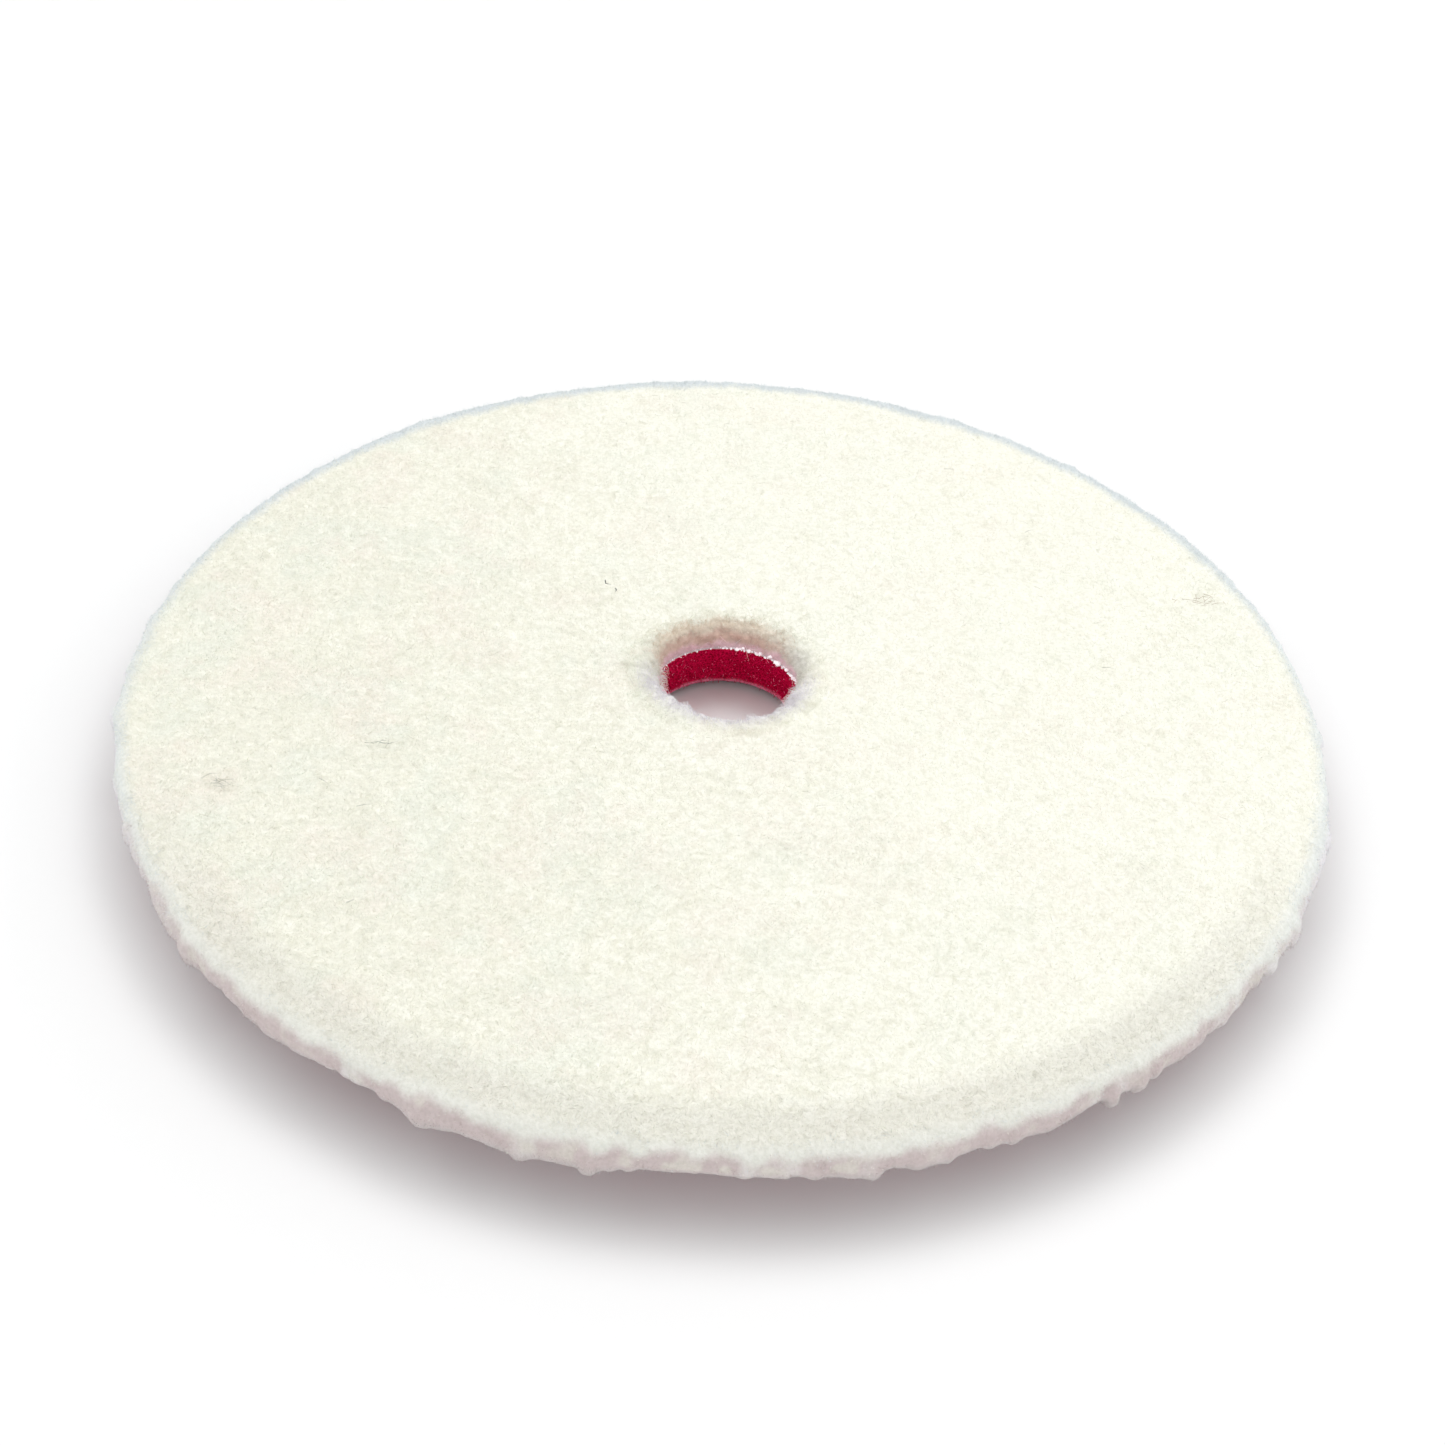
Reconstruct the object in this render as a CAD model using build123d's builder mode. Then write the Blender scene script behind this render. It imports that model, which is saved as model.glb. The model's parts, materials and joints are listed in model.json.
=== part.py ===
"""Round polishing pad: a short dense pile on a thin foam interlayer, with a loop backing.

Millimetres, +Z up. The origin is the centre of the loop backing's lowest face, and +Z points out of
the pile, along the axis of the hole that goes through every layer.
"""
from build123d import *
import os

# Diameters
pile_diameter = 165.0  # over the pile's rolled rim
cloth_diameter = 161.0  # ground cloth, film and the wide face of the foam
backing_diameter = 148.0  # loop backing, just inside a 150 mm hook plate
hole_diameter = 21.0  # the hole through pile, cloth and foam, cut at once
backing_hole_diameter = 25.0  # the backing's own hole, set back so that the foam's edge hides it

# Layer thicknesses, from the backing up
loop_pile_thickness = 0.7
loop_cloth_thickness = 0.4
film_thickness = 0.1
foam_thickness = 5.9
ground_cloth_thickness = 0.3
pile_depth = 4.0

# Edges of the pile and of the foam
rim_top_radius = 2.6  # where the pile rolls over into its rim
rim_foot_radius = 1.2  # under the rim, where the pile curls back to the foam
lip_radius = 3.4  # where the pile rolls over into the hole
foam_land = 0.6  # straight edge of the foam below the face film, before its taper

# Radii
pile_radius = pile_diameter / 2
cloth_radius = cloth_diameter / 2
backing_radius = backing_diameter / 2
hole_radius = hole_diameter / 2
backing_hole_radius = backing_hole_diameter / 2

# Levels, from the backing's lowest face
loop_cloth_level = loop_pile_thickness
backing_film_level = loop_cloth_level + loop_cloth_thickness
foam_level = backing_film_level + film_thickness
face_film_level = foam_level + foam_thickness
ground_cloth_level = face_film_level + film_thickness
pile_level = ground_cloth_level + ground_cloth_thickness
top_level = pile_level + pile_depth

os.makedirs("parts", exist_ok=True)


def keep(part, name):
    """Label a finished piece and write it as one STEP file."""
    part.label = name
    export_step(part, f"parts/{name}.step")


def ring_section(inner, outer, level, thickness):
    """Half section of a flat ring, from its hole's radius to its outer radius, drawn in the XZ plane."""
    with Locations((inner, level)):
        Rectangle(outer - inner, thickness, align=(Align.MIN, Align.MIN))


# Loops that a backing plate's hooks grip
with BuildPart() as loop_pile:
    with BuildSketch(Plane.XZ):
        ring_section(backing_hole_radius, backing_radius, 0, loop_pile_thickness)
    revolve(axis=Axis.Z)
keep(loop_pile.part, "loop_pile")

# Knitted base that carries the loops
with BuildPart() as loop_cloth:
    with BuildSketch(Plane.XZ):
        ring_section(backing_hole_radius, backing_radius, loop_cloth_level, loop_cloth_thickness)
    revolve(axis=Axis.Z)
keep(loop_cloth.part, "loop_cloth")

# Adhesive between the loop backing and the foam
with BuildPart() as backing_bond_film:
    with BuildSketch(Plane.XZ):
        ring_section(backing_hole_radius, backing_radius, backing_film_level, film_thickness)
    revolve(axis=Axis.Z)
keep(backing_bond_film.part, "backing_bond_film")

# Foam interlayer, tapered from the wide pile side in to the backing
with BuildPart() as foam_core:
    with BuildSketch(Plane.XZ):
        with BuildLine():
            Polyline(
                (hole_radius, foam_level),
                (backing_radius, foam_level),
                (cloth_radius, face_film_level - foam_land),
                (cloth_radius, face_film_level),
                (hole_radius, face_film_level),
                close=True,
            )
        make_face()
    revolve(axis=Axis.Z)
keep(foam_core.part, "foam_core")

# Adhesive between the foam and the face fabric
with BuildPart() as face_bond_film:
    with BuildSketch(Plane.XZ):
        ring_section(hole_radius, cloth_radius, face_film_level, film_thickness)
    revolve(axis=Axis.Z)
keep(face_bond_film.part, "face_bond_film")

# Knitted ground that the pile grows from
with BuildPart() as ground_cloth:
    with BuildSketch(Plane.XZ):
        ring_section(hole_radius, cloth_radius, ground_cloth_level, ground_cloth_thickness)
    revolve(axis=Axis.Z)
keep(ground_cloth.part, "ground_cloth")

# Pile: it rolls over into the hole, and round the cut edge of the cloth and the film at its rim
with BuildPart() as pile_face:
    with BuildSketch(Plane.XZ) as pile_section:
        with BuildLine():
            Polyline(
                (hole_radius, pile_level),
                (cloth_radius, pile_level),
                (cloth_radius, face_film_level),
                (pile_radius, face_film_level),
                (pile_radius, top_level),
                (hole_radius, top_level),
                close=True,
            )
        make_face()
        fillet(pile_section.vertices().group_by(Axis.X)[-1].sort_by(Axis.Y)[-1], rim_top_radius)
        fillet(pile_section.vertices().sort_by(Axis.Y)[:2].sort_by(Axis.X)[-1], rim_foot_radius)
        fillet(pile_section.vertices().group_by(Axis.X)[0].sort_by(Axis.Y)[-1], lip_radius)
    revolve(axis=Axis.Z)
keep(pile_face.part, "pile_face")
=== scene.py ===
"""Looks of the felt polishing pad: napped pile, knitted ground, crimson foam and loop backing.

Every length in this file is in metres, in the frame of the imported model: the loop backing rests on
z = 0 and the pile faces +Z. MM turns millimetres into metres.
"""

import itertools
import json
import math

import bmesh
import bpy
import numpy as np
from mathutils import Matrix, Vector


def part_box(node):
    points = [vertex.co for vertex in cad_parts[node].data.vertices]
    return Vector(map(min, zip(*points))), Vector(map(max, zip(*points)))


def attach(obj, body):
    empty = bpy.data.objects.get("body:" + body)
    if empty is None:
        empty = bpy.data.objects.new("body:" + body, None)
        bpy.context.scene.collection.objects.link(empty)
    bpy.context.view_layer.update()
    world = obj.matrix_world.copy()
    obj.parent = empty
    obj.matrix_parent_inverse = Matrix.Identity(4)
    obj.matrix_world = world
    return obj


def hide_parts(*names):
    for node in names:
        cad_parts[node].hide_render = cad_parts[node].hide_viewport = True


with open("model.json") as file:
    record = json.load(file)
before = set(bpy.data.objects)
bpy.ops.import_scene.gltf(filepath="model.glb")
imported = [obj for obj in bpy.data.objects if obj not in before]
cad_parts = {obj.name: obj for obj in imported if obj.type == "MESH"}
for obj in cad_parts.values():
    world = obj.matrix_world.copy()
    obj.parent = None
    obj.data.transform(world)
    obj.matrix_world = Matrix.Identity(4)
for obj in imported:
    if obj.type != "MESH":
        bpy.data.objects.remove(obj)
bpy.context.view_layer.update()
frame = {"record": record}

MM = 0.001
TURN = 2 * math.pi
SLACK = 0.01 * MM  # two lengths this close count as equal

# ---------------- sizes, all read from the frame


def radius_of(node):
    """Outer radius of a round node."""
    low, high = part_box(node)
    return (high.x - low.x) / 2


def hole_of(node):
    """Radius of the hole in a round node."""
    mesh = bpy.data.objects[node].data
    return min(math.hypot(v.co.x, v.co.y) for v in mesh.vertices)


def levels_of(node):
    """Lowest and highest z of a node."""
    low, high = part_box(node)
    return low.z, high.z


hole_mount = next(m for m in frame["record"]["mounts"] if m["name"] == "centre_hole")
HOLE_R = hole_mount["dims"]["r_mm"] * MM
# Where the pile starts to roll over into the hole
LIP_FOOT = hole_mount["pos_m"][2] + hole_mount["dims"]["length_mm"] * MM / 2
PILE_R = radius_of("pile_face")
CLOTH_R = radius_of("ground_cloth")
BACKING_R = radius_of("loop_cloth")
BACKING_HOLE_R = hole_of("loop_cloth")
SKIRT_Z, TOP_Z = levels_of("pile_face")
CLOTH_LOW, CLOTH_HIGH = levels_of("ground_cloth")
FOAM_LOW, FOAM_HIGH = levels_of("foam_core")
LOOP_LOW, LOOP_HIGH = levels_of("loop_pile")

# ---------------- random values and noise


def lattice_values(cells, seed):
    """A repeatable random value from -1 to 1 for each whole-numbered cell."""
    mixed = np.full(len(cells), seed * 7919 + 17, np.uint64)
    for axis, prime in zip(range(cells.shape[1]), (73856093, 19349663, 83492791)):
        mixed ^= cells[:, axis].astype(np.int64).view(np.uint64) * np.uint64(prime)
        mixed = (mixed ^ (mixed >> np.uint64(29))) * np.uint64(0x9E3779B97F4A7C15)
    mixed ^= mixed >> np.uint64(32)
    return (mixed >> np.uint64(11)).astype(float) / 2.0**52 - 1.0


def noise(points, size, seed):
    """Smooth random values from -1 to 1 that change over about `size` metres."""
    points = np.asarray(points, float) / size
    cell = np.floor(points)
    t = points - cell
    t = t * t * t * (t * (t * 6 - 15) + 10)
    cell = cell.astype(np.int64)
    total = np.zeros(len(points))
    for corner in itertools.product((0, 1), repeat=points.shape[1]):
        weight = np.ones(len(points))
        for axis, side in enumerate(corner):
            weight *= t[:, axis] if side else 1 - t[:, axis]
        total += weight * lattice_values(cell + np.array(corner), seed)
    return total


def lumps(points, size, seed, reach=0.75):
    """Rounded bumps, 0 to 1, one at a random place in each cell of about `size` metres."""
    points = np.asarray(points, float) / size
    home = np.floor(points).astype(np.int64)
    best = np.zeros(len(points))
    for step in itertools.product((-1, 0, 1), repeat=points.shape[1]):
        cell = home + np.array(step)
        centre = np.stack(
            [cell[:, k] + 0.5 + 0.35 * lattice_values(cell, seed + 31 * k) for k in range(points.shape[1])], 1
        )
        height = 0.75 + 0.25 * lattice_values(cell, seed + 97)
        away = ((points - centre) ** 2).sum(1) / reach**2
        best = np.maximum(best, height * np.clip(1 - away, 0, 1) ** 0.75)
    return best


def eased(value, low, high):
    """0 below low, 1 above high, and smooth between."""
    t = np.clip((value - low) / (high - low), 0, 1)
    return t * t * (3 - 2 * t)


def from_axis(points):
    """How far each point is from the Z axis."""
    return np.hypot(points[:, 0], points[:, 1])


def unit(vectors):
    """Vectors, along the last axis, scaled to a length of 1."""
    return vectors / np.linalg.norm(vectors, axis=-1, keepdims=True)


# ---------------- meshes


def add_object(name, data):
    """Put a mesh, a light or a camera in the scene."""
    added = bpy.data.objects.new(name, data)
    bpy.context.scene.collection.objects.link(added)
    return added


def new_piece(name, vertices, faces, materials, slots=None, smooth=True):
    """A mesh object from a list of arrays of equal-sided faces."""
    mesh = bpy.data.meshes.new(name)
    faces = [np.asarray(f, np.int32) for f in faces if len(f)]
    corners = np.concatenate([f.ravel() for f in faces])
    sides = np.concatenate([np.full(len(f), f.shape[1], np.int32) for f in faces])
    mesh.vertices.add(len(vertices))
    mesh.vertices.foreach_set("co", np.asarray(vertices, np.float32).ravel())
    mesh.loops.add(len(corners))
    mesh.loops.foreach_set("vertex_index", corners)
    mesh.polygons.add(len(sides))
    mesh.polygons.foreach_set("loop_start", np.concatenate([[0], np.cumsum(sides)[:-1]]).astype(np.int32))
    for material in materials:
        mesh.materials.append(material)
    if slots is not None:
        mesh.polygons.foreach_set("material_index", np.asarray(slots, np.int32))
    mesh.update(calc_edges=True)
    mesh.polygons.foreach_set("use_smooth", np.full(len(sides), smooth))
    mesh.validate()
    return add_object(name, mesh)


def paint(piece, colour, share):
    """Give each point of a piece a tint: its colour, and how much of it shows."""
    rgba = np.concatenate([colour, share[:, None]], 1)
    tint = piece.data.color_attributes.new("tint", "FLOAT_COLOR", "POINT")
    tint.data.foreach_set("color", rgba.astype(np.float32).ravel())


def stitch(first, count, next_first, next_count):
    """Faces between two closed rings of points. One ring may have twice the points of the other."""
    if count == next_count:
        i = np.arange(count)
        j = (i + 1) % count
        return np.stack([first + i, first + j, next_first + j, next_first + i], 1), np.empty((0, 3), int)
    fine_is_next = next_count > count
    coarse, fine = (first, next_first) if fine_is_next else (next_first, first)
    n = min(count, next_count)
    i = np.arange(n)
    j = (i + 1) % n
    a, b, c = fine + 2 * i, fine + 2 * i + 1, fine + (2 * i + 2) % (2 * n)
    p, q = coarse + i, coarse + j
    triangles = np.concatenate([np.stack(t, 1) for t in ((p, b, a), (p, q, b), (q, c, b))])
    return np.empty((0, 4), int), triangles if fine_is_next else triangles[:, ::-1]


def turned_piece(path, normal, ring_count):
    """A closed ring turned from a section. path and normal are the section's (r, z) points and normals,
    anticlockwise as seen with +R to the right and +Z up. Returns the angle, r, z and the two parts of the
    normal at each point, and the faces."""
    counts = [ring_count(r) for r, z in path]
    starts = np.concatenate([[0], np.cumsum(counts)]).astype(int)
    angle = np.concatenate([np.arange(count) * TURN / count for count in counts])
    spread = [np.repeat(column, counts) for column in (*path.T, *normal.T)]
    quads, triangles = [], []
    for k in range(len(counts)):
        following = (k + 1) % len(counts)
        q, t = stitch(starts[k], counts[k], starts[following], counts[following])
        quads.append(q)
        triangles.append(t)
    return angle, *spread, [np.concatenate(quads), np.concatenate(triangles)]


def on_circle(angle, radius, size, seed):
    """Noise round a circle, so that it closes on itself."""
    return noise(np.stack([radius * np.cos(angle), radius * np.sin(angle)], 1), size, seed)


def from_polar(angle, r, z):
    return np.stack([r * np.cos(angle), r * np.sin(angle), z], 1)


def sampled_profile(points, spacing):
    """A closed outline of (r, z) cut into steps of about `spacing`, with its outward normals."""
    points = np.asarray(points, float)
    out = []
    for a, b in zip(points, np.roll(points, -1, axis=0)):
        length = np.linalg.norm(b - a)
        steps = max(1, int(round(length / spacing(*(a + b) / 2))))
        out.append(a + (b - a) * (np.arange(steps) / steps)[:, None])
    path = np.concatenate(out)
    along = unit(np.roll(path, -1, axis=0) - np.roll(path, 1, axis=0))
    return path, np.stack([along[:, 1], -along[:, 0]], 1)


def arc(centre, radius, start, end, steps):
    """Points on a circle in the (r, z) section, angles in degrees."""
    a = np.radians(np.linspace(start, end, steps))
    return [(centre[0] + radius * math.cos(t), centre[1] + radius * math.sin(t)) for t in a]


# ---------------- materials


def shader(name, colour, roughness, sheen=0.0, subsurface=0.0, scale=1 * MM, specular=0.5):
    """A material with one Principled shader. Returns the material, its nodes, its links and the shader."""
    material = bpy.data.materials.new(name)
    material.use_nodes = True
    nodes, links = material.node_tree.nodes, material.node_tree.links
    principled = nodes["Principled BSDF"]
    settings = {
        "Base Color": (*colour, 1),
        "Roughness": roughness,
        "Sheen Weight": sheen,
        "Sheen Roughness": 0.5,
        "Specular IOR Level": specular,
        "Subsurface Weight": subsurface,
        "Subsurface Radius": (1, 1, 1),
        "Subsurface Scale": scale,
    }
    for socket, value in settings.items():
        principled.inputs[socket].default_value = value
    return material, nodes, links, principled


def add_node(nodes, links, kind, **inputs):
    """A node with each named input linked to a socket, or set to a number. _ stands for a space."""
    node = nodes.new(kind)
    for name, value in inputs.items():
        socket = node.inputs[name.replace("_", " ")]
        if isinstance(value, bpy.types.NodeSocket):
            links.new(value, socket)
        else:
            socket.default_value = value
    return node


def object_place(nodes):
    """Each shading point's place on its own object."""
    return nodes.new("ShaderNodeTexCoord").outputs["Object"]


def texture_noise(nodes, links, size, detail=3.0):
    """A noise texture whose features are about `size` metres across."""
    place = object_place(nodes)
    return add_node(nodes, links, "ShaderNodeTexNoise", Vector=place, Scale=1 / size, Detail=detail)


def colour_ramp(nodes, links, value, stops):
    """Colours along a value. stops is a list of (position, colour)."""
    ramp = nodes.new("ShaderNodeValToRGB")
    while len(ramp.color_ramp.elements) < len(stops):
        ramp.color_ramp.elements.new(0.5)
    for element, (position, colour) in zip(ramp.color_ramp.elements, stops):
        element.position = position
        element.color = (*colour, 1)
    links.new(value, ramp.inputs["Fac"])
    return ramp


def painted_tint(nodes):
    """The tint that paint() stored: its Color and its Alpha."""
    tint = nodes.new("ShaderNodeVertexColor")
    tint.layer_name = "tint"
    return tint


def mix_colours(nodes, links, a, b, blend="MIX"):
    """A node that mixes colour a with colour b, with its Factor left to set."""
    mix = nodes.new("ShaderNodeMix")
    mix.data_type = "RGBA"
    mix.blend_type = blend
    links.new(a.outputs["Color"], mix.inputs["A"])
    links.new(b.outputs["Color"], mix.inputs["B"])
    return mix


def add_bump(nodes, links, principled, height, distance, strength=1.0):
    bump = add_node(nodes, links, "ShaderNodeBump", Height=height, Distance=distance, Strength=strength)
    links.new(bump.outputs["Normal"], principled.inputs["Normal"])


# cream, bright, dim, warm and cool are the fibres' own tones, though bright and dim also carry painted light
# towards +X. Where colour_shares lays them, shade, ice, lavender, tan, brown, mauve, oat and hem stand mostly
# for painted shade, and rose and the pink of mauve for painted reflection of the red foam.
PILE_COLOURS = {
    "cream": (0.845, 0.838, 0.745),
    "bright": (0.905, 0.90, 0.82),
    "dim": (0.79, 0.788, 0.695),
    "warm": (0.85, 0.808, 0.73),
    "cool": (0.81, 0.828, 0.745),
    "shade": (0.73, 0.72, 0.655),
    "ice": (0.66, 0.705, 0.72),
    "lavender": (0.78, 0.755, 0.795),
    "tan": (0.75, 0.655, 0.54),
    "brown": (0.70, 0.50, 0.42),
    "rose": (0.90, 0.66, 0.72),
    "mauve": (0.55, 0.465, 0.462),
    "oat": (0.66, 0.63, 0.575),
    "hem": (0.50, 0.455, 0.45),
}
COLOUR_NAMES = list(PILE_COLOURS)


def pile_body_material():
    """The pile's skin under the fibres: painted tints, a fine mottle and a fibrous bump. The tints include
    painted light towards +X, and painted shade and painted reflection on the rim and in the hole.
    """
    material, nodes, links, principled = shader("pile_felt", PILE_COLOURS["cream"], 0.95, sheen=0.15)
    mottle = texture_noise(nodes, links, 0.45 * MM)
    stops = [(0.30, (0.92, 0.92, 0.90)), (0.60, (1.04, 1.04, 1.04))]
    shades = colour_ramp(nodes, links, mottle.outputs["Fac"], stops)
    mottled = mix_colours(nodes, links, painted_tint(nodes), shades, "MULTIPLY")
    mottled.inputs["Factor"].default_value = 1.0
    links.new(mottled.outputs["Result"], principled.inputs["Base Color"])
    fibres = texture_noise(nodes, links, 0.22 * MM, detail=4.0)
    add_bump(nodes, links, principled, fibres.outputs["Fac"], 0.12 * MM)
    return material


def fibre_materials():
    """One material for each of the pile's colours, in the same order."""
    return [shader(f"fibre_{name}", colour, 0.9, sheen=0.1)[0] for name, colour in PILE_COLOURS.items()]


# ---------------- pile

LIP = TOP_Z - LIP_FOOT  # radius of the pile's roll into the hole
RIM_ROLL = 2.6 * MM
RIM_CURL = 1.2 * MM
TOP_STEP = 0.5 * MM
RIM_STEP = 0.3 * MM
# The nap lies over towards +Y, so the pile swells into the hole at -Y and at both ends, and rolls back at
# +Y: (angle in degrees, half width in degrees, swell in mm)
LIP_SWELLS = [(270, 100, 1.15), (226, 34, 1.25), (180, 36, 0.9), (345, 42, 1.0)]


def pile_profile():
    """The pile's section, anticlockwise from the foot of the hole's wall."""
    points = [(HOLE_R, CLOTH_HIGH), (CLOTH_R, CLOTH_HIGH), (CLOTH_R, SKIRT_Z)]
    points += arc((PILE_R - RIM_CURL, SKIRT_Z + RIM_CURL), RIM_CURL, -90, 0, 6)
    points += arc((PILE_R - RIM_ROLL, TOP_Z - RIM_ROLL), RIM_ROLL, 0, 90, 14)
    points += arc((HOLE_R + LIP, TOP_Z - LIP), LIP, 90, 180, 18)
    return points


def pile_spacing(r, z):
    """Small steps where the pile rolls over, and long ones where it is hidden."""
    if z <= CLOTH_HIGH + SLACK and r < CLOTH_R:
        return 4 * MM
    if r < HOLE_R + LIP + 0.5 * MM:
        return 0.2 * MM
    if r > PILE_R - RIM_ROLL - 0.5 * MM:
        return RIM_STEP
    return TOP_STEP


def pile_ring_count(r):
    return 512 if r < 40 * MM else 1024 if r < PILE_R - RIM_ROLL - 1 * MM else 2048


def lip_swell(angle):
    """How far the pile swells into the hole at each angle, in metres."""
    total = np.zeros(len(angle))
    for centre, half_width, height in LIP_SWELLS:
        away = np.abs((np.degrees(angle) - centre + 180) % 360 - 180)
        total += height * (1 - eased(away, 0, half_width))
    uneven = 1 + 0.35 * on_circle(angle, HOLE_R, 2.2 * MM, 9) + 0.2 * on_circle(angle, HOLE_R, 0.9 * MM, 10)
    return total * uneven * MM


def rim_nubs(angle, count, half_width, seed):
    """Rounded nubs, 0 to 1: one in each of `count` equal sectors, at a random place and size."""
    sector = angle / TURN % 1 * count
    home = np.floor(sector).astype(np.int64)
    sector_length = TURN * PILE_R / count
    best = np.zeros(len(angle))
    for step in (-1, 0, 1):
        cell = ((home + step) % count)[:, None]
        centre = home + step + 0.5 + 0.4 * lattice_values(cell, seed)
        height = eased(lattice_values(cell, seed + 1), -0.7, 1.1)
        width = half_width * (1 + 0.4 * lattice_values(cell, seed + 2)) / sector_length
        away = (sector - centre) / width
        best = np.maximum(best, height / (1 + away**4))
    return best


def rim_shape(angle):
    """How far the pile's edge stands out round the rim, in mm: slow waves, scallops and nubs."""
    wave = 0.36 * on_circle(angle, PILE_R, 13 * MM, 5) + 0.30 * on_circle(angle, PILE_R, 5 * MM, 6)
    scallops = 0.07 * (1 - 2 * np.abs(on_circle(angle, PILE_R, 2.4 * MM, 12)))
    nubs, small_nubs = rim_nubs(angle, 46, 0.95 * MM, 13), rim_nubs(angle, 130, 0.6 * MM, 17)
    return wave + scallops + 0.7 * nubs + 0.2 * small_nubs


def pile_relief(angle, r, z):
    """How far the pile's skin stands out from its plain section, in metres."""
    flat = from_polar(angle, r, z)
    relief = 0.09 * noise(flat, 0.9 * MM, 1) + 0.10 * noise(flat, 1.9 * MM, 2)
    relief += 0.10 * noise(flat, 6 * MM, 3) + 0.12 * noise(flat, 22 * MM, 4)
    rim = eased(r, PILE_R - 4 * MM, PILE_R - 0.8 * MM)
    low = eased(-z, -(TOP_Z - 0.6 * MM), -(SKIRT_Z + 1.6 * MM))
    relief += rim * (0.35 + 0.65 * low) * rim_shape(angle)
    lip = 1 - eased(r, HOLE_R + 1.2 * MM, HOLE_R + LIP + 0.8 * MM)
    foot = eased(z, CLOTH_HIGH - 0.1 * MM, CLOTH_HIGH + 1.1 * MM)
    dip = eased(-r, -(HOLE_R + LIP + 2.5 * MM), -(HOLE_R + LIP - 0.5 * MM))
    dip = dip * eased(z, TOP_Z - 1.2 * MM, TOP_Z)
    relief -= 0.45 * dip * eased(np.sin(angle), -0.2, 0.7)
    relief += lip * foot * (0.34 * lumps(flat, 1.1 * MM, 7) - 0.14)
    return (relief + lip * foot * lip_swell(angle) / MM) * MM


def rim_droop(angle, r, z):
    """How far the pile's hem hangs down, in metres."""
    hem = eased(-z, -(SKIRT_Z + 2.2 * MM), -SKIRT_Z) * eased(r, CLOTH_R - 0.5 * MM, CLOTH_R + 0.8 * MM)
    return hem * (0.15 + 0.9 * rim_shape(angle)) * MM


def nap_tone(points):
    """The nap's flecks, about -1 to 1: short strokes of lighter and darker fibre, mostly along X."""
    stretched = points * np.array([0.55, 1.0])
    return 0.75 * noise(stretched, 0.52 * MM, 33) + 0.45 * noise(stretched, 0.30 * MM, 34)


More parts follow.
